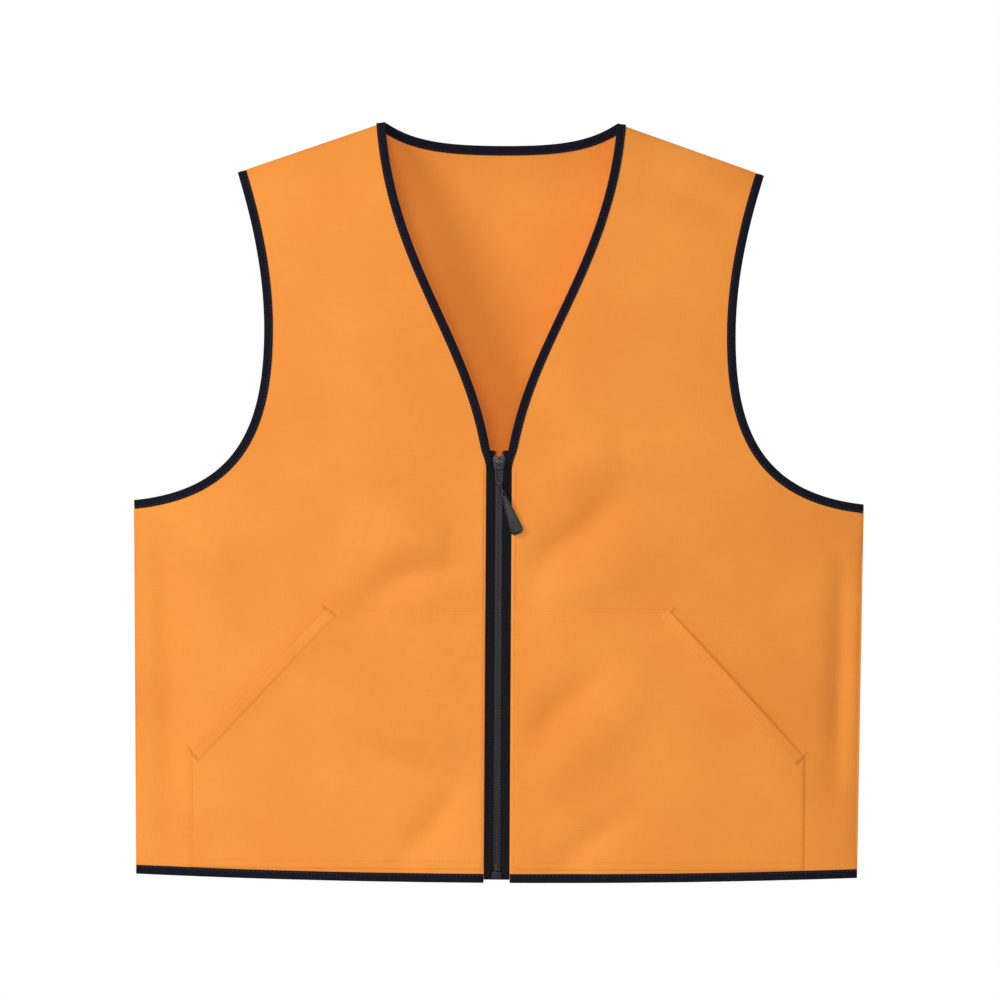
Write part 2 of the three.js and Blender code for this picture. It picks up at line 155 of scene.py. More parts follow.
def eased(value, start, end):
    """0 before start, 1 after end, and a smooth turn between them."""
    t = np.clip((value - start) / (end - start), 0, 1)
    return t * t * (3 - 2 * t)


def shoulder_line(x):
    """Height of the shoulder seam above a place across the vest."""
    return -shoulder_fall / shoulder_length * np.maximum(0, np.abs(x) - neck_half)


seam_draw = 1.2 * mm
seam_pinch = 1.05 * mm
pinch_reach = 4 * mm


def drawn_in(to_seam, reach, free):
    """How far the cloth comes in towards a seam: gently at first, then quickly, to meet it."""
    gently = seam_draw * eased(-to_seam, -reach, 0)
    return free * (gently + seam_pinch * eased(-to_seam, -pinch_reach, 0))


def hang(x, z):
    """How far either face of the vest stands off the plane through its side seams."""
    side = chest_half + (hem_half - chest_half) * eased(-z, -underarm_height, -hem_height)
    across = 1 - np.minimum(1, np.abs(x) / side) ** 2.6
    climb = np.clip(1 - (shoulder_line(x) - z) / shoulder_blend, 0, 1)
    out = body_depth * across * (1 - climb ** 2)
    free = eased(-z, 12 * mm - underarm_height, 55 * mm - underarm_height)
    free = free * eased(z, hem_height + 8 * mm, hem_height + 30 * mm)
    by_side = drawn_in(side - np.abs(x), 14 * mm, free)
    free = eased(np.abs(x), neck_half + 9 * mm, neck_half + 16 * mm)
    free = free * eased(-np.abs(x), 16 * mm - shoulder_tip[0], 9 * mm - shoulder_tip[0])
    by_shoulder = drawn_in(shoulder_line(x) - z, 9 * mm, free)
    return out + standoff - np.maximum(by_side, by_shoulder)


def fold(x, z, start, end, width, height, bow=0):
    """A soft fold from one point to another, highest midway, bowed sideways by a distance."""
    along = np.array(end) - start
    length = math.hypot(*along)
    along = along / length
    run = (x - start[0]) * along[0] + (z - start[1]) * along[1]
    t = np.clip(run / length, 0, 1)
    aside = (z - start[1]) * along[0] - (x - start[0]) * along[1] - 4 * bow * t * (1 - t)
    past = run - t * length
    crest = fold_height * height * (1 - 0.6 * (2 * t - 1) ** 2)
    return crest * np.exp(-(aside ** 2 + past ** 2) / width ** 2)


def waves(x, z, length, seed):
    """Slow unevenness of a hanging cloth, between -1 and 1."""
    total = 0
    for turn in range(5):
        angle = seed + 2.4 * turn
        phase = 1.7 * seed + 2.1 * turn
        total = total + np.sin(2 * math.pi * (x * math.cos(angle) + z * math.sin(angle)) / length + phase)
    return total / 5


def back_depth(x, z):
    """The back's outward depth: two long hanging folds under the shoulder blades and a slack hem."""
    out = hang(x, z)
    out = out + fold(x, z, (-0.15, -0.14), (-0.11, -0.58), 34 * mm, 4 * mm, 14 * mm)
    out = out + fold(x, z, (0.16, -0.13), (0.12, -0.60), 36 * mm, 4.5 * mm, -12 * mm)
    out = out + fold(x, z, (0.02, -0.20), (-0.03, -0.66), 30 * mm, 3.2 * mm, 8 * mm)
    out = out - fold(x, z, (-0.24, -0.40), (-0.07, -0.47), 22 * mm, 2.5 * mm, -10 * mm)
    out = out - fold(x, z, (0.25, -0.42), (0.08, -0.50), 24 * mm, 2.5 * mm, 12 * mm)
    free = eased(-z, 0.04, 0.12) * eased(-np.abs(x), -chest_half, -0.25)
    return out + free * (1.1 * mm * waves(x, z, 0.19, 1.3) + 0.5 * mm * waves(x, z, 0.07, 4.1))


def lay(depth, face, flat, lift):
    """Flat points laid on the front (face -1) or back (face 1), and lifted off it outwards."""
    x, z = flat.T
    step = 0.5 * mm
    slope_x = (depth(x + step, z) - depth(x - step, z)) / (2 * step)
    slope_z = (depth(x, z + step) - depth(x, z - step)) / (2 * step)
    normal = np.stack([-slope_x, np.full(len(x), float(face)), -slope_z], 1)
    normal /= np.linalg.norm(normal, axis=1)[:, None]
    surface = np.stack([x, face * depth(x, z), z], 1)
    return surface + np.broadcast_to(lift, len(x))[:, None] * normal, normal


def inside(points, outline):
    """Which flat points lie within an outline."""
    found = np.zeros(len(points), bool)
    for (x1, z1), (x2, z2) in zip(outline, np.roll(outline, -1, axis=0)):
        crosses = (z1 > points[:, 1]) != (z2 > points[:, 1])
        at = x1 + (points[:, 1] - z1) / (z2 - z1 if z1 != z2 else 1) * (x2 - x1)
        found ^= crosses & (points[:, 0] < at)
    return found


def filled(outline, spacing):
    """Points and triangles that fill an outline evenly."""
    low, high = outline.min(0), outline.max(0)
    rows = np.arange(low[1], high[1], spacing * math.sqrt(0.75))
    inner = [
        (x, z)
        for i, z in enumerate(rows)
        for x in np.arange(low[0] + spacing / 2 * (i % 2), high[0], spacing)
    ]
    inner = np.array(inner)
    inner = inner[inside(inner, outline)]
    nearest = np.full(len(inner), np.inf)
    for point in outline:
        nearest = np.minimum(nearest, np.hypot(*(inner - point).T))
    points = np.vstack([outline, inner[nearest > 0.6 * spacing]])
    made = delaunay_2d_cdt([Vector(p) for p in points], [], [list(range(len(outline)))], 1, 1e-7)
    return np.array([tuple(p) for p in made[0]]), np.array([list(f) for f in made[2]])


def outlined(paths, spacing):
    """One closed outline from paths that follow each other."""
    return np.vstack([even(path, spacing)[:-1] for path in paths])


def new_mesh(name, points, faces, material, flat=None):
    """A smooth mesh piece. flat gives each point its place on the uncut cloth, in metres."""
    mesh = bpy.data.meshes.new(name)
    mesh.from_pydata(np.asarray(points).tolist(), [], [list(map(int, face)) for face in faces])
    if flat is not None:
        corners = np.zeros(len(mesh.loops), int)
        mesh.loops.foreach_get("vertex_index", corners)
        mesh.uv_layers.new(name="flat").data.foreach_set("uv", np.asarray(flat)[corners].ravel())
    mesh.materials.append(material)
    mesh.shade_smooth()
    piece = bpy.data.objects.new(name, mesh)
    bpy.context.scene.collection.objects.link(piece)
    return piece


def cut_cloth(name, outline, depth, face, material, spacing, thickness=cloth_thickness, lift=0):
    """A piece cut from cloth and laid on the vest: two faces and a rounded edge."""
    flat, triangles = filled(outline, spacing)
    middle, normal = lay(depth, face, flat, lift)
    a, b, c = (middle[triangles[:, i]] for i in range(3))
    facing = (np.cross(b - a, c - a) * normal[triangles[:, 0]]).sum(1)
    triangles[facing < 0] = triangles[facing < 0][:, ::-1]
    edges = np.vstack([triangles[:, [0, 1]], triangles[:, [1, 2]], triangles[:, [2, 0]]])
    seen = {(int(p), int(q)) for p, q in edges}
    rim = np.array([edge for edge in seen if edge[::-1] not in seen])
    out = np.zeros_like(middle)
    along = np.cross(middle[rim[:, 1]] - middle[rim[:, 0]], normal[rim[:, 0]])
    for i in (0, 1):
        np.add.at(out, rim[:, i], along)
    edge = np.unique(rim)
    out[edge] /= np.linalg.norm(out[edge], axis=1)[:, None]
    count = len(flat)
    at = np.zeros(count, int)
    at[edge] = 2 * count + np.arange(len(edge))
    points = np.vstack([
        middle + normal * thickness / 2,
        middle - normal * thickness / 2,
        middle[edge] + out[edge] * thickness / 2,
    ])
    faces = [*triangles, *(triangles[:, ::-1] + count)]
    for p, q in rim:
        faces.append((q, p, at[p], at[q]))
        faces.append((at[q], at[p], p + count, q + count))
    return new_mesh(name, points, faces, material, np.vstack([flat, flat, flat[edge]]))


class Wire:
    """One value in a material. Operators on it add Math nodes, and node() adds any other node."""

    def __init__(self, tree, socket=None):
        self.tree = tree
        self.socket = socket

    def node(self, kind, settings, values, output=None):
        """Adds a node: its settings first, then the values or wires of its sockets."""
        made = self.tree.nodes.new("ShaderNode" + kind)
        for name, setting in settings.items():
            if name == "stops":
                for stop, (place, color) in zip((0, 1), setting):
                    made.color_ramp.elements[stop].position = place
                    made.color_ramp.elements[stop].color = (*color, 1)
            else:
                setattr(made, name, setting)
        usable = [socket for socket in made.inputs if socket.enabled]
        for name, value in values.items():
            socket = usable[name] if isinstance(name, int) else next(s for s in usable if s.name == name)
            if isinstance(value, Wire):
                self.tree.links.new(value.socket, socket)
            else:
                socket.default_value = value
        shown = [socket for socket in made.outputs if socket.enabled]
        return Wire(self.tree, next((s for s in shown if s.name == output), shown[0] if shown else None))

    def math(self, operation, first, second=0.0):
        return self.node("Math", {"operation": operation}, {0: first, 1: second})

    def __add__(self, other):
        return self.math("ADD", self, other)

    def __sub__(self, other):
        return self.math("SUBTRACT", self, other)

    def __mul__(self, other):
        return self.math("MULTIPLY", self, other)

    def __truediv__(self, other):
        return self.math("DIVIDE", self, other)

    def __rsub__(self, other):
        return self.math("SUBTRACT", other, self)

    def __rtruediv__(self, other):
        return self.math("DIVIDE", other, self)

    __radd__ = __add__
    __rmul__ = __mul__

    def sine(self):
        return self.node("Math", {"operation": "SINE"}, {0: self})

    def between(self, low, high):
        """0 below low, 1 above high."""
        return self.node("MapRange", {"interpolation_type": "SMOOTHSTEP"},
                         {"Value": self, "From Min": low, "From Max": high})

    def noise(self, place, scale, detail=2.0):
        return self.node("TexNoise", {}, {"Vector": place, "Scale": scale, "Detail": detail}, "Fac")

    def mix(self, factor, first, second):
        """From one colour to another."""
        colors = [c if isinstance(c, Wire) else (*c, 1) for c in (first, second)]
        return self.node("Mix", {"data_type": "RGBA"}, {"Factor": factor, "A": colors[0], "B": colors[1]})

    def bump(self, height, distance):
        return self.node("Bump", {}, {"Height": height, "Distance": distance, "Strength": 1.0})

    def stretched(self, place, scale):
        """A place scaled along each of its axes."""
        return self.node("VectorMath", {"operation": "MULTIPLY"}, {0: place, 1: scale})

    def finish(self, values):
        """The shader on the piece's surface."""
        shader = self.node("BsdfPrincipled", {}, values)
        self.node("OutputMaterial", {}, {"Surface": shader})


def new_material(name):
    """An empty material, and the wire that its nodes are added with."""
    material = bpy.data.materials.new(name)
    material.use_nodes = True
    material.node_tree.nodes.clear()
    return material, Wire(material.node_tree)


def weave(wire, place, pitch):
    """Height of a plain weave: each thread passes over one thread and under the next."""
    across = wire.node("SeparateXYZ", {}, {"Vector": place}, "X")
    up = wire.node("SeparateXYZ", {}, {"Vector": place}, "Y")
    rate = math.pi / pitch
    over = (across * rate).sine() * (up * rate).sine()
    ribs = (across * (2 * rate)).sine() - (up * (2 * rate)).sine()
    return over * 0.6 + ribs * 0.2


thread_pitch = 0.42 * mm


def make_orange_cloth():
    """Plain-woven polyester: two sets of threads, uneven slubs, a faint sheen, and a faint even
    emission, which is a glow for the fluorescent dye and painted light that lifts the shade in the
    hollows."""
    material, wire = new_material("orange_cloth")
    place = wire.node("UVMap", {"uv_map": "flat"}, {})
    threads = weave(wire, place, thread_pitch)
    slubs = wire.noise(wire.stretched(place, (60, 900, 1)), 1.0)
    slubs = slubs + wire.noise(wire.stretched(place, (900, 60, 1)), 1.0)
    clouds = wire.noise(place, 9.0, 3.0)
    tone = clouds * 0.7 + slubs * 0.2 + threads * 0.05
    color = wire.mix(tone.between(0.35, 0.9), (0.79, 0.250, 0.036), (0.89, 0.322, 0.052))
    wire.finish({
        "Base Color": color,
        "Roughness": 0.70 + 0.12 * slubs - 0.04 * threads,
        "Normal": wire.bump(threads * 0.8 + slubs * 0.9, 0.05 * mm),
        "Specular IOR Level": 0.25,
        "Sheen Weight": 0.18,
        "Sheen Roughness": 0.45,
        "Sheen Tint": (1.0, 0.72, 0.45, 1),
        # A faint painted glow over all the cloth: it stands in for the dye's fluorescence and lifts its
        # shade.
        "Emission Color": (1.0, 0.36, 0.055, 1),
        "Emission Strength": 0.08,
    })
    return material


orange_cloth = make_orange_cloth()
cloth_spacing = 5 * mm
under_binding = 1.3 * mm
back_outline = outlined([
    inset(hem_line(-hem_half, hem_half), under_binding),
    [(hem_half, hem_height + hem_rise), (chest_half, underarm_height)],
    inset(armhole_edge, under_binding),
    [shoulder_tip, (neck_half, 0)],
    inset(back_neck_edge, under_binding),
    [(-neck_half, 0), (-shoulder_tip[0], shoulder_tip[1])],
    inset(mirrored(armhole_edge), under_binding),
    [(-chest_half, underarm_height), (-hem_half, hem_height + hem_rise)],
], cloth_spacing)
back_cloth = cut_cloth("back_cloth", back_outline, back_depth, 1, orange_cloth, cloth_spacing)
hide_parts("back_panel")
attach(back_cloth, "root")

# --- Front panels ---------------------------------------------------------------------------------
# Two mirrored pieces of the same cloth, joined to the back at the shoulder and side. Each one's edge
# beside the zip is turned under and sewn to the zip's tape, which draws it into small puckers.
fold_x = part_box("front_panel_flap_left")[1].x
window_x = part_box("pocket_flap_left")[0].x
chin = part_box("neck_binding_flap_left")[0].z
chin_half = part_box("neck_binding_flap_left")[0].x
v_edge = curve(
    (neck_half, 0),
    (neck_half - 11 * mm, 0.434 * chin),
    (chin_half + 14 * mm, 0.63 * chin),
    (chin_half, chin),
)


def front_depth(x, z):
    """The front's outward depth, with its folds, which die away beside the zip."""
    out = hang(x, z)
    soft = 0
    # The wearer's right front.
    soft = soft + fold(x, z, (-0.115, -0.372), (-0.045, -0.385), 26 * mm, 3.4 * mm, 6 * mm)
    soft = soft - fold(x, z, (-0.125, -0.435), (-0.020, -0.402), 15 * mm, 2.6 * mm, 14 * mm)
    soft = soft + fold(x, z, (-0.165, -0.505), (-0.020, -0.560), 24 * mm, 3.2 * mm, -10 * mm)
    soft = soft - fold(x, z, (-0.150, -0.530), (-0.060, -0.585), 14 * mm, 1.6 * mm, -8 * mm)
    soft = soft - fold(x, z, (-0.085, -0.662), (-0.026, -0.592), 14 * mm, 2.2 * mm)
    soft = soft - fold(x, z, (-0.298, -0.372), (-0.292, -0.660), 15 * mm, 2.6 * mm, 4 * mm)
    soft = soft + fold(x, z, (-0.290, -0.350), (-0.235, -0.420), 20 * mm, 2.4 * mm)
    soft = soft - fold(x, z, (-0.215, -0.080), (-0.120, -0.062), 18 * mm, 2.0 * mm, -5 * mm)
    # The wearer's left front.
    soft = soft + fold(x, z, (0.050, -0.318), (0.112, -0.306), 22 * mm, 3.0 * mm, 4 * mm)
    soft = soft - fold(x, z, (0.022, -0.395), (0.100, -0.342), 14 * mm, 2.6 * mm, -6 * mm)
    soft = soft + fold(x, z, (0.030, -0.425), (0.130, -0.380), 22 * mm, 2.2 * mm, -8 * mm)
    soft = soft - fold(x, z, (0.016, -0.560), (0.092, -0.494), 15 * mm, 2.4 * mm)
    soft = soft + fold(x, z, (0.040, -0.590), (0.125, -0.520), 22 * mm, 2.2 * mm)
    soft = soft - fold(x, z, (0.052, -0.668), (0.118, -0.618), 14 * mm, 2.2 * mm)
    soft = soft - fold(x, z, (0.312, -0.395), (0.306, -0.590), 12 * mm, 2.4 * mm)
    soft = soft - fold(x, z, (0.120, -0.060), (0.215, -0.082), 18 * mm, 2.0 * mm, 5 * mm)
    soft = soft + 0.8 * mm * waves(x, z, 0.17, 2.2) + 0.35 * mm * waves(x, z, 0.06, 0.7)
    beside_zip = eased(np.abs(x), 12 * mm, 52 * mm)
    by_seam = eased(chest_half - np.abs(x), 0, 25 * mm) * eased(shoulder_line(x) - z, 5 * mm, 45 * mm)
    pucker = 0.5 + 0.5 * np.sin(2 * math.pi * z / (15 * mm) + 3 * waves(x * 0, z, 0.11, 1.0))
    reach = (14 + 8 * waves(x * 0, z, 0.16, 3.0)) * mm
    pucker = pucker * np.exp(-((np.abs(x) - window_x) / reach) ** 2) * eased(-z, -chin, 0.34)
    return out + soft * beside_zip * by_seam + 0.7 * mm * pucker


def turn_with_front(piece, side):
    """Bakes the piece's placement into its mesh."""
    bend = 11 * mm
    start = (side * (fold_x + bend), front_face, chin)
    end = (side * (fold_x - bend), front_face, chin)
    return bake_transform(piece)


sides = {1: "left", -1: "right"}
fine_spacing = 4 * mm
front_outline = outlined([
    inset(hem_line(window_x, hem_half), under_binding),
    [(hem_half, hem_height + hem_rise), (chest_half, underarm_height)],
    inset(armhole_edge, under_binding),
    [shoulder_tip, (neck_half, 0)],
    inset(v_edge, under_binding),
    [(window_x, chin), (window_x, hem_height)],
], fine_spacing)
for side, name in sides.items():
    outline = front_outline if side > 0 else mirrored(front_outline)
    piece = cut_cloth(f"front_cloth_{name}", outline, front_depth, -1, orange_cloth, fine_spacing)
    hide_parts(f"front_panel_side_{name}", f"front_panel_flap_{name}")
    turn_with_front(piece, side)

# --- Sewing ---------------------------------------------------------------------------------------
# The vest is sewn with a lock stitch in polyester thread: orange on the cloth, black on the
# binding. Each stitch is a short raised loop whose two ends dip into the cloth.
thread_width = 0.5 * mm
stitch_length = 3.2 * mm
stitch_gap = 0.5 * mm
thread_sides = 6
zip_edge_row = 2.6 * mm
above_pocket = 0.9 * mm


def make_thread(name, color, worn):
    """Twisted polyester thread, its plies catching the light unevenly."""
    material, wire = new_material(name)
    place = wire.node("TexCoord", {}, {}, "Object")
    plies = wire.noise(wire.stretched(place, (2600, 2600, 2600)), 1.0, 1.0)
    wire.finish({
        "Base Color": wire.mix(plies.between(0.3, 0.7), color, worn),
        "Roughness": 0.5 + 0.25 * plies,
        "Normal": wire.bump(plies, 0.04 * mm),
        "Sheen Weight": 0.15,
    })
    return material


orange_thread = make_thread("orange_thread", (0.78, 0.25, 0.037), (0.90, 0.34, 0.060))
black_thread = make_thread("black_thread", (0.007, 0.007, 0.012), (0.020, 0.020, 0.028))


def add_stitches(name, starts, ends, depth, face, lift, material, width=thread_width):
    """A thread loop from each start to its end, lying on a lifted surface. Five rings of points
    follow the loop, which starts and ends within the cloth."""
    rise = np.array([-0.9, 0.15, 0.45, 0.15, -0.9]) * width
    thick = np.array([0.25, 0.48, 0.5, 0.48, 0.25]) * width
    share = np.array([0, 0.22, 0.5, 0.78, 1])[None, :, None]
    route = starts[:, None] * (1 - share) + ends[:, None] * share
    middle, normal = lay(depth, face, route.reshape(-1, 2), lift + np.tile(rise, len(starts)))
    middle = middle.reshape(-1, len(rise), 3)
    normal = normal.reshape(-1, len(rise), 3)
    along = middle[:, -1] - middle[:, 0]
    aside = np.cross(normal, along[:, None])
    aside /= np.linalg.norm(aside, axis=2)[:, :, None]
    angle = np.linspace(0, 2 * math.pi, thread_sides, endpoint=False)[:, None]
    ring = np.cos(angle) * aside[:, :, None] + np.sin(angle) * normal[:, :, None]
    points = middle[:, :, None] + ring * thick[:, None, None]
    last = thread_sides * (len(rise) - 1)
    loop = [list(range(thread_sides))[::-1], list(range(last, last + thread_sides))]
    for start in range(0, last, thread_sides):
        for i in range(thread_sides):
            near, far = start + i, start + (i + 1) % thread_sides
            loop.append([near, far, far + thread_sides, near + thread_sides])
    size = last + thread_sides
    faces = [[corner + size * k for corner in face] for k in range(len(starts)) for face in loop]
    return new_mesh(name, points.reshape(-1, 3), faces, material)


def stitch_row(name, path, depth, face, lift, material):
    """Lock stitches end to end along a path."""
    stops = even(path, stitch_length + stitch_gap)
    along = np.diff(stops, axis=0)
    trim = along * stitch_gap / (2 * np.hypot(*along.T)[:, None])
    return add_stitches(name, stops[:-1] + trim, stops[1:] - trim, depth, face, lift, material)


hem_clearance = hem_height + hem_rise + binding_width
for side, name in sides.items():
    row_x = side * (window_x + zip_edge_row)
    path = np.array([(row_x, hem_clearance), (row_x, chin - 4 * mm)])
    stitches = stitch_row(f"zip_edge_stitches_{name}", path, front_depth, -1, above_pocket, orange_thread)
    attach(stitches, f"front_{name}")

# --- Pockets --------------------------------------------------------------------------------------
# A patch of the same cloth sewn on each front. Its top edge runs level from the zip, and its
# slanted mouth has a turned and stitched hem that stands a little open, with a bar tack at each end.
pocket_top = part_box("pocket_flap_left")[1].z
pocket_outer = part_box("pocket_side_left")[1].x
mouth_upper = (152 * mm, pocket_top)
mouth_lower = (pocket_outer, hem_height + 113 * mm)
mouth_gape = 4.2 * mm
patch_lift = 0.62 * mm
stitch_inset = 2.2 * mm
foot_row = 6 * mm
mouth_row = 8 * mm
row_lifts = {"side": 0.27 * mm, "top": 0.27 * mm, "foot": 0.27 * mm, "mouth": 0.55 * mm}


def mouth_place(x, z):
    """How far along the mouth a place is, from 0 to 1, and how far inside the pocket."""
    along = np.array(mouth_lower) - mouth_upper
    length = math.hypot(*along)
    run = ((np.abs(x) - mouth_upper[0]) * along[0] + (z - mouth_upper[1]) * along[1]) / length ** 2
    within = ((np.abs(x) - mouth_upper[0]) * along[1] - (z - mouth_upper[1]) * along[0]) / length
    return np.clip(run, 0, 1), within


def pocket_depth(x, z):
    """The patch's outward depth: on the front, apart from its mouth, which stands open."""
    run, within = mouth_place(x, z)
    gape = 4 * run * (1 - run) * np.exp(-(within / (15 * mm)) ** 2)
    tuck = 0.25 * mm * eased(-z, -hem_clearance - foot_row, -hem_clearance)
    return front_depth(x, z) + patch_lift - tuck + mouth_gape * gape


pocket_edge = window_x + 0.4 * mm
pocket_foot = hem_clearance - 1.2 * mm
pocket_corners = np.array([
    (pocket_edge, pocket_foot),
    (pocket_outer, pocket_foot),
    mouth_lower,
    mouth_upper,
    (pocket_edge, pocket_top),
])
pocket_outline = outlined(
    [np.stack([a, b]) for a, b in zip(pocket_corners, np.roll(pocket_corners, -1, axis=0))],
    fine_spacing)


def strip_along(name, path, section, depth, face, side, material, width=None):
    """Cloth folded over an edge. section is its outline as [distance inside the edge, lift], and
    width gives the strip's width, as a share of its full one, at each point of the path."""
    path = even(path, fine_spacing)
    toward = inward(path)
    if width:
        toward = toward * width(path)[:, None]
    rings = []
    for distance, lift in section:
        flat = (path + distance * toward) * (side, 1)
        rings.append(lay(depth, face, flat, lift)[0])
    count = len(path)
    points = np.vstack(rings)
    faces = []
    for i in range(len(section)):
        near, far = i * count, (i + 1) % len(section) * count
        for j in range(count - 1):
            faces.append((near + j, far + j, far + j + 1, near + j + 1))
    faces.append([i * count for i in range(len(section))])
    faces.append([i * count + count - 1 for i in range(len(section))])
    run = np.r_[0, np.cumsum(np.hypot(*np.diff(path, axis=0).T))]
    around = np.r_[0, np.cumsum(np.hypot(*np.diff(section, axis=0).T))]
    flat = np.stack([np.tile(run, len(section)), np.repeat(around, count)], 1)
    piece = new_mesh(name, points, faces, material, flat)
    shell = bmesh.new()
    shell.from_mesh(piece.data)
    bmesh.ops.recalc_face_normals(shell, faces=shell.faces)
    shell.to_mesh(piece.data)
    shell.free()
    return piece


# Just outside the patch at its mouth, round its edge, and back under it.
mouth_section = np.array([
    (10.0, 0.30), (9.6, 0.46), (8.2, 0.50), (7.4, 0.44), (4.0, 0.60), (1.0, 0.62), (0.2, 0.45),
    (-0.1, 0.0), (0.2, -0.45), (1.0, -0.60), (4.0, -0.55), (9.6, -0.42), (10.0, -0.30),
]) * mm
tack_loops = 9
tack_length = 10 * mm
tack_width = 2.4 * mm
tack_thread = 0.6 * mm
for side, name in sides.items():
    outline = pocket_outline if side > 0 else mirrored(pocket_outline)
    patch = cut_cloth(f"pocket_cloth_{name}", outline, pocket_depth, -1, orange_cloth, fine_spacing)
    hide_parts(f"pocket_side_{name}", f"pocket_flap_{name}")
    mouth = np.array([mouth_lower, mouth_upper])
    hem = strip_along(f"pocket_mouth_{name}", mouth, mouth_section, pocket_depth, -1, side, orange_cloth)
    side_line = np.array([
        (pocket_outer - stitch_inset, pocket_foot),
        (pocket_outer - stitch_inset, mouth_lower[1] - 4 * mm),
    ])
    top_line = np.array([
        (mouth_upper[0] - 6 * mm, pocket_top - stitch_inset),
        (pocket_edge + 4 * mm, pocket_top - stitch_inset),
    ])
    foot_line = np.array([
        (pocket_edge + 4 * mm, hem_clearance + foot_row),
        (pocket_outer - stitch_inset, hem_clearance + foot_row),
    ])
    mouth_line = inset(even(mouth, fine_spacing), mouth_row)[2:-2]
    rows = {"side": side_line, "top": top_line, "foot": foot_line, "mouth": mouth_line}
    extras = [hem]
    for place, path in rows.items():
        extras.append(stitch_row(
            f"pocket_{place}_stitches_{name}", path * (side, 1), pocket_depth, -1, row_lifts[place],
            orange_thread))
    along = (np.array(mouth_lower) - mouth_upper) / math.dist(mouth_lower, mouth_upper)
    across = np.array([-along[1], along[0]])
    tacks = {"upper": np.array(mouth_upper), "lower": np.array(mouth_lower)}
    for place, end in tacks.items():
        middle = end + along * tack_width * (1 if place == "upper" else -1)
        turns = np.linspace(-0.5, 0.5, tack_loops)[:, None] * tack_length * across
        starts = (middle + turns - along * tack_width / 2) * (side, 1)
        ends = (middle + turns + along * tack_width / 2) * (side, 1)
        tack = add_stitches(f"pocket_tack_{place}_{name}", starts, ends, pocket_depth, -1, 0.5 * mm,
                            orange_thread, tack_thread)
        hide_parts(f"bar_tack_{place}_{name}")
        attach(tack, "root")
    turn_with_front(patch, side)
    for piece in extras:
        turn_with_front(piece, side)

# --- Seam allowances ------------------------------------------------------------------------------
# Inside each shoulder and side seam the two raw edges lie together, trimmed to 10 mm and oversewn
# with a three-thread zigzag that keeps them from fraying. Their ends are caught in the bindings.
allowance = 10 * mm
allowance_thickness = 1.6 * mm  # two edges and the slack between them
below_seam = 2.5 * mm
zigzag_pitch = 2.4 * mm
zigzag_width = 4.1 * mm
zigzag_thread = 0.4 * mm
raw_margin = 0.4 * mm


def seam_plane(x, z):
    """The upright plane through the side and shoulder seams."""
    return 0 * x


def oversewn(name, node, seam, side):
    """A seam's two raw edges, below or beside the seam, and the thread that holds them."""
    flat = np.vstack([seam, inset(seam, allowance)[::-1]])
    edges = [flat[:2], flat[1:3], flat[2:4], flat[[3, 0]]]
    outline = outlined(edges, fine_spacing) * (side, 1)
    if side < 0:
        outline = outline[::-1]
    strip = cut_cloth(name, outline, seam_plane, -1, orange_cloth, fine_spacing, allowance_thickness)
    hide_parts(node)
    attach(strip, "root")
    stops = even(seam, zigzag_pitch)
    raw = inset(stops, allowance - raw_margin)
    inner = inset(stops, allowance - raw_margin - zigzag_width)
    starts = np.vstack([raw[:-1], inner[1:]]) * (side, 1)
    ends = np.vstack([inner[1:], raw[1:]]) * (side, 1)
    lift = allowance_thickness / 2
    for face, word in ((-1, "front"), (1, "back")):
        zigzag = add_stitches(f"{name}_{word}_thread", starts, ends, seam_plane, face, lift,
                              orange_thread, zigzag_thread)
        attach(zigzag, "root")


for side, name in sides.items():
    seam_in = neck_half + 3 * mm
    seam_out = shoulder_tip[0] - 1.5 * mm
    shoulder = np.array([(x, float(shoulder_line(x)) - below_seam) for x in (seam_out, seam_in)])
    oversewn(f"shoulder_allowance_{name}", f"shoulder_seam_{name}", shoulder, side)
    low_corner = (hem_half - below_seam, hem_height + hem_rise + 1 * mm)
    high_corner = (chest_half - below_seam, underarm_height - 1 * mm)
    oversewn(f"side_allowance_{name}", f"side_seam_{name}", np.array([low_corner, high_corner]), side)

# --- Bindings -------------------------------------------------------------------------------------
# Near-black woven tape, folded over every raw edge so that 8 mm shows on both faces, with its own
# edges turned under and one row of black stitches that draws it down.
stitch_line = 0.81 * binding_width
row_lift = 0.98 * mm
inside_row_lift = -1.0 * mm
rib_pitch = 0.75 * mm


def make_binding():
    """Woven bias tape: fine diagonal ribs, a navy tint, and paler fluff where it is rubbed."""
    material, wire = new_material("binding")
    place = wire.node("UVMap", {"uv_map": "flat"}, {})
    along = wire.node("SeparateXYZ", {}, {"Vector": place}, "X")
    across = wire.node("SeparateXYZ", {}, {"Vector": place}, "Y")
    ribs = ((along + across) * (2 * math.pi / rib_pitch)).sine()
    cross_ribs = ((along - across) * (2 * math.pi / rib_pitch)).sine()
    threads = ribs * 0.6 + cross_ribs * 0.4
    fluff = wire.noise(place, 420.0, 3.0)
    rubbed = fluff.between(0.52, 0.75)
    color = wire.mix(rubbed, (0.0055, 0.0052, 0.0125), (0.014, 0.014, 0.025))
    wire.finish({
        "Base Color": color,
        "Roughness": 0.78 + 0.1 * fluff,
        "Normal": wire.bump(threads * 0.7 + fluff, 0.06 * mm),
        "Specular IOR Level": 0.12,
        "Sheen Weight": 0.03,
        "Sheen Roughness": 0.5,
    })
    return material


binding = make_binding()
outer = np.array([
    (1.0, 0.62), (0.99, 0.92), (0.91, 1.08), (0.81, 0.96), (0.69, 1.22), (0.49, 1.38), (0.27, 1.40),
    (0.11, 1.28), (0.04, 0.95), (0.006, 0.5),
]) * (binding_width, mm)
inner = np.array([
    (0.07, 0.0), (0.11, 0.65), (0.25, 0.86), (0.49, 0.84), (0.81, 0.46), (0.98, 0.48),
]) * (binding_width, mm)
binding_section = np.vstack([
    outer,
    [(0.0, 0.0)],
    (outer * (1, -1))[::-1],
    (inner * (1, -1))[:0:-1],
    inner,
])


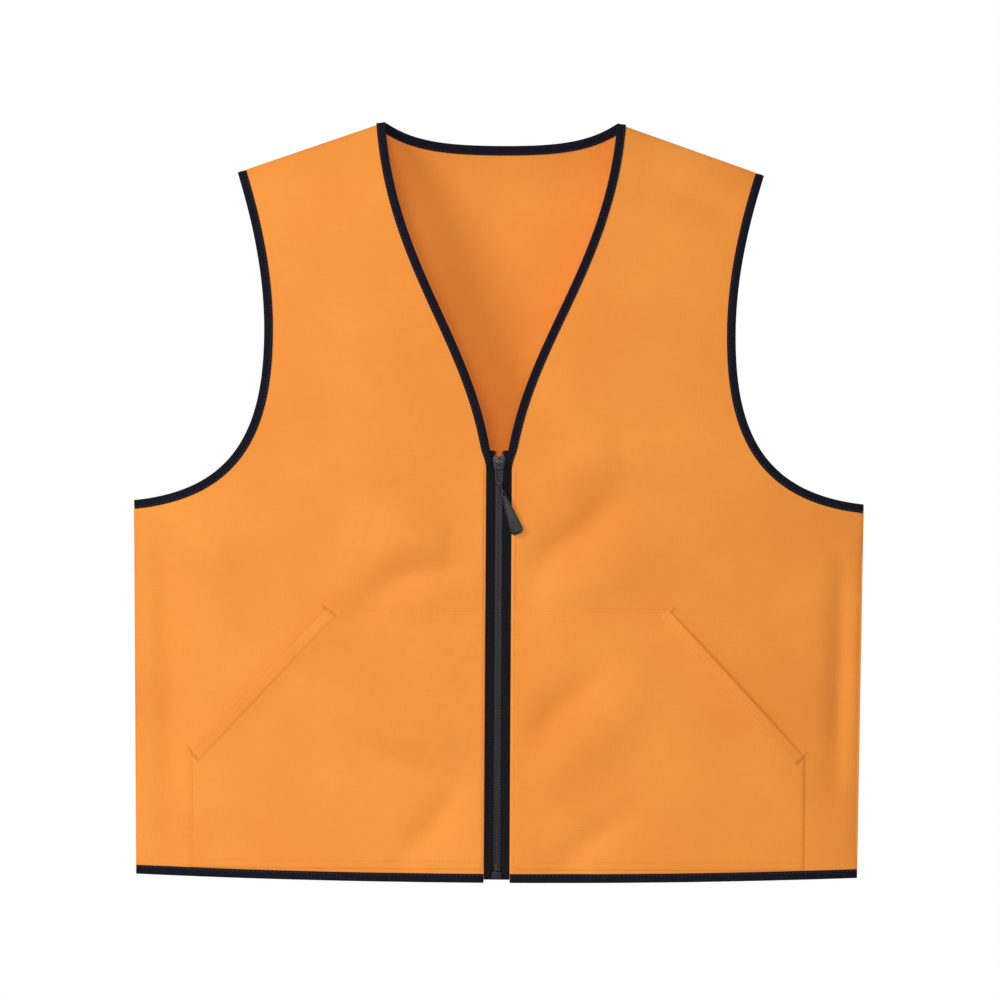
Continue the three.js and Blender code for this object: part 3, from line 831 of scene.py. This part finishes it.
def full_width(path):
    """The binding's full width all along."""
    return np.ones(len(path))


def narrowed(path):
    """The V's binding draws in at its foot, where it runs into the zip."""
    return 1 - 0.3 * eased(-path[:, 1], -chin - 20 * mm, -chin)


def bind_edge(name, path, depth, face, side, nodes, move, width=full_width, inside_row=False):
    """Binding along one edge, its stitches, and what they replace and move with."""
    path = even(path, fine_spacing)
    tape = strip_along(name, path, binding_section, depth, face, side, binding, width)
    row = (path + stitch_line * width(path)[:, None] * inward(path)) * (side, 1)
    stitches = [stitch_row(f"{name}_stitches", row, depth, face, row_lift, black_thread)]
    if inside_row:
        stitches.append(
            stitch_row(f"{name}_inside_stitches", row, depth, face, inside_row_lift, black_thread))
    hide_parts(*nodes)
    move(tape)
    for piece in stitches:
        move(piece)


def stay(piece):
    """The piece belongs to the part of the vest that doesn't open."""
    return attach(piece, "root")


bind_edge("neck_binding_back_tape", back_neck_edge, back_depth, 1, 1, ["neck_binding_back"],
          stay, inside_row=True)
bind_edge("hem_binding_back_tape", hem_line(-hem_half, hem_half), back_depth, 1, 1,
          ["hem_binding_back"], stay)
for side, name in sides.items():
    def move_with_front(piece, side=side):
        """Bakes the piece's placement into its mesh, as for this side's front."""
        return turn_with_front(piece, side)

    halves = ("side", "flap")
    bind_edge(f"neck_binding_{name}", v_edge, front_depth, -1, side,
              [f"neck_binding_{half}_{name}" for half in halves], move_with_front,
              narrowed)
    bind_edge(f"hem_binding_{name}", hem_line(window_x, hem_half), front_depth, -1, side,
              [f"hem_binding_{half}_{name}" for half in halves], move_with_front)
    bind_edge(f"armhole_binding_{name}_front_tape", armhole_edge, front_depth, -1, side,
              [f"armhole_binding_front_{name}"], stay)
    bind_edge(f"armhole_binding_{name}_back_tape", armhole_edge, back_depth, 1, side,
              [f"armhole_binding_back_{name}"], stay)

# --- Zip ------------------------------------------------------------------------------------------
# An open-ended zip closes the fronts. Its two woven tapes are sewn behind their edges, and each
# carries moulded nylon teeth, whose heads pass between those of the other row.
tape_low, tape_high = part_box("zip_tape_left")
tape_plane = (tape_low.y + tape_high.y) / 2
tape_inner = tape_low.x
tape_outer = tape_high.x
tape_foot = tape_low.z
tape_top = tape_high.z
tape_thickness = 0.6 * mm
box_low, box_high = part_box("retainer_box")
slider_low, slider_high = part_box("slider_body")
teeth_low, teeth_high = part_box("zip_teeth_left")
tooth_pitch = 2.6 * mm
tooth_depth = 0.95 * mm
cord_edge = 0.17 * mm
cord_depth = 0.45 * mm
tape_spacing = 2.5 * mm
spread = teeth_high.x - 2.6 * mm  # how far the slider parts the rows
touching = 0.3 * mm


def make_zip_tape():
    """Woven polyester tape: fine upright ribs crossed by picks, denser beside the teeth."""
    material, wire = new_material("zip_tape")
    place = wire.node("UVMap", {"uv_map": "flat"}, {})
    across = wire.node("SeparateXYZ", {}, {"Vector": place}, "X")
    up = wire.node("SeparateXYZ", {}, {"Vector": place}, "Y")
    ribs = (across * (2 * math.pi / (0.9 * mm))).sine()
    picks = (up * (2 * math.pi / (0.5 * mm)) + ribs * 1.6).sine()
    fluff = wire.noise(place, 500.0, 3.0)
    wire.finish({
        "Base Color": wire.mix(fluff.between(0.45, 0.8), (0.0050, 0.0045, 0.0070), (0.012, 0.011, 0.015)),
        "Roughness": 0.66 + 0.14 * fluff,
        "Normal": wire.bump(ribs * 0.7 + picks * 0.4, 0.09 * mm),
        "Specular IOR Level": 0.12,
        "Sheen Weight": 0.03,
    })
    return material


def make_nylon():
    """Moulded nylon, satin, with the faint flow marks of the mould."""
    material, wire = new_material("zip_nylon")
    place = wire.node("TexCoord", {}, {}, "Object")
    flow = wire.noise(wire.stretched(place, (500, 500, 1800)), 1.0, 2.0)
    wire.finish({
        "Base Color": wire.mix(flow, (0.005, 0.005, 0.007), (0.010, 0.010, 0.013)),
        "Roughness": 0.34 + 0.2 * flow,
        "Normal": wire.bump(flow, 0.02 * mm),
        "Specular IOR Level": 0.28,
    })
    return material


def make_enamel():
    """Black enamel on zinc, thin and rubbed to bare metal along its sharpest edges."""
    material, wire = new_material("black_enamel")
    place = wire.node("TexCoord", {}, {}, "Object")
    speckle = wire.noise(place, 2600.0, 2.0)
    edge = wire.node("NewGeometry", {}, {}, "Pointiness")
    rubbed = (edge + speckle * 0.06).between(0.60, 0.68) * 0.7
    wire.finish({
        "Base Color": wire.mix(rubbed, (0.006, 0.006, 0.008), (0.24, 0.24, 0.25)),
        "Metallic": 0.7 * rubbed,
        "Roughness": 0.3 + 0.14 * speckle,
        "Normal": wire.bump(speckle, 0.02 * mm),
        "Specular IOR Level": 0.35,
    })
    return material


def make_rubber():
    """Soft moulded plastic: matt, finely textured, and shiny where fingers hold it."""
    material, wire = new_material("grip_rubber")
    place = wire.node("TexCoord", {}, {}, "Object")
    grain = wire.noise(place, 4200.0, 1.0)
    polish = wire.noise(place, 160.0, 2.0)
    wire.finish({
        "Base Color": wire.mix(polish, (0.005, 0.005, 0.008), (0.010, 0.010, 0.014)),
        "Roughness": 0.52 - 0.22 * polish,
        "Normal": wire.bump(grain, 0.03 * mm),
        "Specular IOR Level": 0.28,
    })
    return material


zip_tape = make_zip_tape()
nylon = make_nylon()
enamel = make_enamel()
rubber = make_rubber()


def rounded(corners, radius):
    """A closed outline with its corners rounded; radius may differ from corner to corner."""
    corners = np.array(corners, float)
    radii = np.broadcast_to(radius, len(corners))
    points = []
    for i, corner in enumerate(corners):
        back = corners[i - 1] - corner
        ahead = corners[(i + 1) % len(corners)] - corner
        back, back_length = back / math.hypot(*back), math.hypot(*back)
        ahead, ahead_length = ahead / math.hypot(*ahead), math.hypot(*ahead)
        angle = math.acos(np.clip(back @ ahead, -1, 1))
        cut = min(radii[i] / math.tan(angle / 2), 0.45 * back_length, 0.45 * ahead_length)
        t = np.linspace(0, 1, 6)[:, None]
        points.append((1 - t) ** 2 * (corner + cut * back) + 2 * t * (1 - t) * corner
                      + t ** 2 * (corner + cut * ahead))
    return np.vstack(points)


def moved_in(loop, distance):
    """A closed outline moved to its left."""
    before = loop - np.roll(loop, 1, axis=0)
    after = np.roll(loop, -1, axis=0) - loop
    lefts = []
    for way in (before, after):
        lefts.append(np.stack([-way[:, 1], way[:, 0]], 1) / np.hypot(*way.T)[:, None])
    middle = lefts[0] + lefts[1]
    share = 1 + (lefts[0] * lefts[1]).sum(1)
    return loop + distance * middle / np.maximum(share, 0.4)[:, None]


def from_front(u, v, level):
    """Where a point goes of an outline drawn from the front."""
    return u, level, v


def from_side(u, v, level):
    """Where a point goes of an outline drawn from the side."""
    return level, u, v


def moulded(loops, low, high, rim, drawn=from_front):
    """A solid with rounded rims, from low to high. The first loop is its outline and the rest are
    holes, drawn the other way round."""
    levels = []
    for step in (0, 1, 2, 3):
        angle = math.pi / 2 * step / 3
        levels.append((rim * (1 - math.sin(angle)), rim * (1 - math.cos(angle))))
    levels = [(away, low + up) for away, up in levels] + [(away, high - up) for away, up in levels[::-1]]
    rings = [[moved_in(loop, away) for loop in loops] for away, _ in levels]
    count = sum(len(loop) for loop in loops)
    points = []
    for (_, level), ring in zip(levels, rings):
        for u, v in np.vstack(ring):
            points.append(drawn(u, v, level))
    faces = []
    for row in range(len(levels) - 1):
        start = row * count
        for loop in loops:
            for i in range(len(loop)):
                near, far = start + i, start + (i + 1) % len(loop)
                faces.append((near, far, far + count, near + count))
            start += len(loop)
    for row, ring in ((0, rings[0]), (len(levels) - 1, rings[-1])):
        cap = tessellate_polygon([[Vector((u, v, 0)) for u, v in loop] for loop in ring])
        for triangle in cap:
            faces.append([row * count + i for i in triangle])
    return np.array(points), faces


def assembled(name, parts, material):
    """One piece from several moulded solids."""
    shell = bmesh.new()
    for points, faces in parts:
        corners = [shell.verts.new(point) for point in points]
        made = [shell.faces.new([corners[i] for i in face]) for face in faces]
        bmesh.ops.recalc_face_normals(shell, faces=made)
    mesh = bpy.data.meshes.new(name)
    shell.to_mesh(mesh)
    shell.free()
    mesh.materials.append(material)
    mesh.shade_smooth()
    mesh.set_sharp_from_angle(angle=math.radians(50))
    piece = bpy.data.objects.new(name, mesh)
    bpy.context.scene.collection.objects.link(piece)
    return piece


def rectangle(left, right, foot, top):
    """Corners of an upright rectangle."""
    return [(left, foot), (right, foot), (right, top), (left, top)]


tape_corners = np.array([
    (tape_inner, box_high.z + touching),
    (box_high.x + touching, box_high.z + touching),
    (box_high.x + touching, tape_foot),
    (window_x - touching, tape_foot),
    (window_x - touching, hem_clearance + touching),
    (tape_outer, hem_clearance + touching),
    (tape_outer, chin - touching),
    (chin_half + under_binding, chin - touching),
    (chin_half + under_binding + 0.12 * (tape_top - chin), tape_top),
    (tape_inner + spread, tape_top),
    (tape_inner + spread, slider_high.z),
    (tape_inner, slider_low.z),
])
tape_outline = outlined(
    [np.stack([a, b]) for a, b in zip(tape_corners, np.roll(tape_corners, -1, axis=0))], tape_spacing)


def tooth(side, height):
    """One tooth: a block clamped on the tape, a neck, and a rounded head past the middle."""
    out = spread * np.clip((height - slider_low.z) / (slider_high.z - slider_low.z), 0, 1)
    half = rounded(np.array([
        (3.3, -0.45), (3.3, 0.45), (1.5, 0.6), (0.3, 0.42), (-0.25, 0.62),
        (-0.85, 0.42), (-0.85, -0.42), (-0.25, -0.62), (0.3, -0.42), (1.5, -0.6),
    ]) * mm, 0.16 * mm)
    outline = (half + (out, 0)) * (side, 1) + (0, height)
    if side < 0:
        outline = outline[::-1]
    return moulded([outline], tape_plane - tooth_depth, tape_plane + tooth_depth, 0.22 * mm)


def tape_cord(side, foot):
    """The tape's thick edge, on which the teeth are moulded."""
    outer_edge = tape_inner + touching
    outline = np.array([
        (cord_edge, foot),
        (outer_edge, foot),
        (outer_edge, slider_low.z),
        (outer_edge + spread, slider_high.z),
        (cord_edge + spread, slider_high.z),
        (cord_edge, slider_low.z),
    ]) * (side, 1)
    if side < 0:
        outline = outline[::-1]
    return moulded([outline], tape_plane - cord_depth, tape_plane + cord_depth, 0.3 * mm)


def tape_depth(x, z):
    """The tapes lie flat, in one upright plane."""
    return 0 * x - tape_plane


stop_low, stop_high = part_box("top_stop_left")
for side, name in sides.items():
    outline = tape_outline if side > 0 else mirrored(tape_outline)
    tape = cut_cloth(f"zip_tape_weave_{name}", outline, tape_depth, -1, zip_tape, tape_spacing,
                     tape_thickness)
    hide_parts(f"zip_tape_{name}")
    row_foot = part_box(f"zip_teeth_{name}")[0].z
    offset = 0 if side > 0 else tooth_pitch / 2
    heights = np.arange(teeth_low.z + 0.8 * mm + offset, slider_high.z - 1.0 * mm, tooth_pitch)
    heights = heights[heights > row_foot + 0.6 * mm]
    teeth = assembled(
        f"zip_tooth_row_{name}",
        [tape_cord(side, row_foot), *(tooth(side, height) for height in heights)], nylon)
    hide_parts(f"zip_teeth_{name}")
    stop_outline = rounded(rectangle(stop_low.x, stop_high.x, stop_low.z, stop_high.z), 0.5 * mm)
    stop_outline = stop_outline if side > 0 else mirrored(stop_outline)
    stop = assembled(f"zip_top_stop_{name}", [
        moulded([stop_outline], stop_low.y, stop_high.y, 0.35 * mm)], nylon)
    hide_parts(f"top_stop_{name}")
    for piece in (tape, teeth, stop):
        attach(piece, f"front_{name}")

# The zip's foot: a pin moulded to the right tape slips through the slider into a box on the left.
pin_low, pin_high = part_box("insertion_pin")
plate_inside = 1.4 * mm
box_outline = rounded(rectangle(box_low.x, box_high.x, box_low.z, box_high.z), 0.9 * mm)
box_parts = [
    moulded([box_outline], box_low.y, tape_plane - plate_inside, 0.5 * mm),
    moulded([box_outline], tape_plane + plate_inside, box_high.y, 0.5 * mm),
]
box_inner_foot = box_low.z + 0.1 * mm
box_inner_top = box_high.z - 0.3 * mm
box_walls = [
    (box_low.x + 0.3 * mm, box_high.x - 0.3 * mm, pin_low.z - touching, 0.2 * mm),
    (touching, box_high.x - 0.1 * mm, box_inner_top, 0.3 * mm),
    (box_low.x + 0.1 * mm, pin_low.x - touching, box_inner_top, 0.3 * mm),
]
for left, right, top, radius in box_walls:
    wall = rounded(rectangle(left, right, box_inner_foot, top), radius)
    box_parts.append(moulded([wall], box_low.y + 0.3 * mm, box_high.y - 0.3 * mm, 0.1 * mm))
rib_inset = 1.2 * mm
for rise in (1.6 * mm, 3.0 * mm, 4.4 * mm):
    rib_foot = box_low.z + rise
    rib = rectangle(box_low.x + rib_inset, box_high.x - rib_inset, rib_foot, rib_foot + 0.5 * mm)
    box_parts.append(
        moulded([rounded(rib, 0.2 * mm)], box_low.y - 0.25 * mm, box_low.y + 0.3 * mm, 0.15 * mm))
retainer = assembled("zip_retainer", box_parts, nylon)
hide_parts("retainer_box")
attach(retainer, "front_left")
pin_outline = rounded(
    rectangle(pin_low.x, pin_high.x, pin_low.z, pin_high.z), (0.9 * mm, 0.9 * mm, 0.5 * mm, 0.5 * mm))
pin = assembled("zip_pin", [moulded([pin_outline], pin_low.y, pin_high.y, 0.4 * mm)], nylon)
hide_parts("insertion_pin")
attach(pin, "front_right")

# --- Slider ---------------------------------------------------------------------------------------
# Die-cast zinc under black enamel: two plates joined by a wedge that parts the teeth, lips along
# their sides that press the teeth together, and an arched crown on the front for the tab.
plate = 1.0 * mm
lip = 0.9 * mm
lip_reach = 0.65 * mm
lip_margin = 0.05 * mm
foot_half = 4.4 * mm
top_half = slider_high.x
crown_low, crown_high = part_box("slider_crown")
shoe = rounded([
    (-foot_half, slider_low.z),
    (foot_half, slider_low.z),
    (top_half, slider_high.z - 2.2 * mm),
    (top_half - 1.6 * mm, slider_high.z),
    (1.2 * mm, slider_high.z - 0.6 * mm),
    (-1.2 * mm, slider_high.z - 0.6 * mm),
    (1.6 * mm - top_half, slider_high.z),
    (-top_half, slider_high.z - 2.2 * mm),
], (1.4 * mm, 1.4 * mm, 1.6 * mm, 1.0 * mm, 0.6 * mm, 0.6 * mm, 1.0 * mm, 1.6 * mm))
slider_parts = [
    moulded([shoe], slider_low.y, slider_low.y + plate, 0.35 * mm),
    moulded([shoe], slider_high.y - plate, slider_high.y, 0.35 * mm),
]
for side in sides:
    strip = np.array([
        (foot_half - lip, slider_low.z + 0.4 * mm),
        (foot_half - lip_margin, slider_low.z + 0.4 * mm),
        (top_half - lip_margin, slider_high.z - 2.4 * mm),
        (top_half - lip, slider_high.z - 2.4 * mm),
    ]) * (side, 1)
    strip = rounded(strip if side > 0 else strip[::-1], 0.3 * mm)
    slider_parts.append(moulded([strip], slider_low.y + plate / 2, tape_plane - lip_reach, 0.15 * mm))
    slider_parts.append(moulded([strip], tape_plane + lip_reach, slider_high.y - plate / 2, 0.15 * mm))
wedge = rounded([
    (0, slider_low.z + 5.5 * mm),
    (1.2 * mm, slider_high.z - 1.0 * mm),
    (-1.2 * mm, slider_high.z - 1.0 * mm),
], 0.3 * mm)
slider_parts.append(moulded([wedge], slider_low.y + plate / 2, slider_high.y - plate / 2, 0.1 * mm))
slider = assembled("zip_slider", slider_parts, enamel)
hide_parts("slider_body")
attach(slider, "slider")

crown_bar = 1.1 * mm
face_y = slider_low.y
arch = rounded([
    (face_y + 0.3 * mm, crown_low.z),
    (face_y + 0.3 * mm, crown_low.z + crown_bar),
    (crown_low.y + crown_bar, crown_low.z + crown_bar),
    (crown_low.y + crown_bar, crown_high.z - crown_bar),
    (face_y + 0.3 * mm, crown_high.z - crown_bar),
    (face_y + 0.3 * mm, crown_high.z),
    (crown_low.y, crown_high.z),
    (crown_low.y, crown_low.z),
], (0.1 * mm, 0.1 * mm, 0.7 * mm, 0.7 * mm, 0.1 * mm, 0.1 * mm, 1.8 * mm, 1.8 * mm))
crown = assembled("zip_crown", [
    moulded([arch], crown_low.x, crown_high.x, 0.3 * mm, from_side)], enamel)
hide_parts("slider_crown")
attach(crown, "slider")

# --- Puller ---------------------------------------------------------------------------------------
# A stamped frame hangs on the slider's crown, and a moulded grip hangs on the frame's lower bar.
tab_low, tab_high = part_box("pull_tab")
tab_bar = 1.6 * mm
slot_half = 2.2 * mm
tab_outline = rounded([
    (tab_low.x * 0.86, tab_low.z),
    (tab_high.x * 0.86, tab_low.z),
    (tab_high.x, tab_low.z + 4 * mm),
    (tab_high.x, tab_high.z),
    (tab_low.x, tab_high.z),
    (tab_low.x, tab_low.z + 4 * mm),
], 1.3 * mm)
slot_outline = rounded(
    rectangle(-slot_half, slot_half, tab_low.z + tab_bar, tab_high.z - tab_bar), 0.8 * mm)[::-1]
tab = assembled("pull_frame", [
    moulded([tab_outline, slot_outline], tab_low.y, tab_high.y, 0.35 * mm)], enamel)
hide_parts("pull_tab")
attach(tab, "tab")

grip_lean = math.radians(21)
grip_pivot = (0, (tab_low.y + tab_high.y) / 2, tab_low.z + tab_bar / 2)
blade_front = -1.56 * mm
blade_back = 0.84 * mm
loop_half = 1.0 * mm
bar_room = 1.5 * mm
loop_wall = 0.8 * mm
hole_half = 0.75 * mm
grip_rim = 0.15 * mm
rim_width = 1.0 * mm
grip_rib_height = 1.1 * mm
half = [(1.2, -1.8), (2.4, -12), (5.6, -40), (6.0, -45.5), (3.5, -48)]
blade_outline = rounded(
    [(x * mm, z * mm) for x, z in [(-x, z) for x, z in half] + half[::-1]],
    np.array([0.5, 8, 10, 2.6, 3.0, 3.0, 2.6, 10, 8, 0.5]) * mm)


rim_outer = moved_in(blade_outline, grip_rim)
rim_inner = moved_in(blade_outline, grip_rim + rim_width)[::-1]
grip_parts = [
    moulded([blade_outline], blade_front + 0.35 * mm, blade_back, 0.5 * mm),
    moulded([rim_outer, rim_inner], blade_front, blade_front + 0.9 * mm, 0.28 * mm),
]
rib_halves = {-43.5 * mm: 2.7 * mm, -40.5 * mm: 2.7 * mm, -37.5 * mm: 2.7 * mm, -34.5 * mm: 2.2 * mm}
for foot, rib_half in rib_halves.items():
    bar = rounded(rectangle(-rib_half, rib_half, foot, foot + grip_rib_height), 0.5 * mm)
    grip_parts.append(moulded([bar], blade_front + 0.05 * mm, blade_front + 0.8 * mm, 0.25 * mm))
loop_outer = rounded(
    rectangle(-hole_half - loop_wall, hole_half + loop_wall, -4.4 * mm, bar_room + loop_wall), 1.3 * mm)
loop_hole = rounded(rectangle(-hole_half, hole_half, -bar_room, bar_room), 0.5 * mm)[::-1]
grip_parts.append(moulded(
    [loop_outer, loop_hole], -loop_half, loop_half, 0.25 * mm, from_side))
grip = assembled("pull_grip_moulding", grip_parts, rubber)
grip.location = grip_pivot
grip.rotation_euler.y = -grip_lean
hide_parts("pull_grip")
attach(grip, "grip")

# --- Floor and light ------------------------------------------------------------------------------
# A plain pale floor well below the hem, whose edge fades away, and large soft lamps all round.
floor_gap = 0.25
floor_radius = 1.3
material, wire = new_material("floor")
floor_place = wire.node("TexCoord", {}, {}, "Object")
distance = wire.node("VectorMath", {"operation": "LENGTH"}, {0: floor_place}, "Value")
paint = wire.node("BsdfPrincipled", {}, {
    "Base Color": (0.86, 0.86, 0.86, 1),
    "Roughness": 0.78 + 0.1 * wire.noise(floor_place, 14.0),
})
clear = wire.node("BsdfTransparent", {}, {})
blended = wire.node("MixShader", {}, {0: distance.between(0.35, floor_radius - 0.02), 1: paint, 2: clear})
wire.node("OutputMaterial", {}, {"Surface": blended})
floor_angle = np.linspace(0, 2 * math.pi, 96, endpoint=False)
floor_edge = np.stack([np.cos(floor_angle), np.sin(floor_angle), 0 * floor_angle], 1) * floor_radius
floor = new_mesh("floor", floor_edge, [range(len(floor_edge))], material)
floor.location.z = hem_height - floor_gap


def add_lamp(name, place, size, power, target=(0, 0, -0.34)):
    """A square soft lamp turned towards the vest."""
    lamp = bpy.data.objects.new(name, bpy.data.lights.new(name, "AREA"))
    lamp.data.size = size
    lamp.data.energy = power
    lamp.location = place
    lamp.rotation_euler = (Vector(target) - Vector(place)).to_track_quat("-Z", "Y").to_euler()
    bpy.context.scene.collection.objects.link(lamp)


# A front lamp and a side lamp model the folds; the back one lights the back and the outline.
add_lamp("front_lamp", (-0.2, -3.4, 0.25), 1.2, 54)
add_lamp("key_lamp", (-2.2, -1.9, 1.0), 1.0, 45)
add_lamp("back_lamp", (0.9, 2.6, 0.6), 2.0, 60)

world = bpy.data.worlds.new("studio")
world.use_nodes = True
world.node_tree.nodes.clear()
sky = Wire(world.node_tree)
seen = sky.node("LightPath", {}, {}, "Is Camera Ray")
strength = 0.23 + 0.77 * seen
backdrop = sky.node("Background", {}, {"Color": (1, 1, 1, 1), "Strength": strength})
sky.node("OutputWorld", {}, {"Surface": backdrop})
bpy.context.scene.world = world
bpy.context.scene.view_settings.view_transform = "Standard"
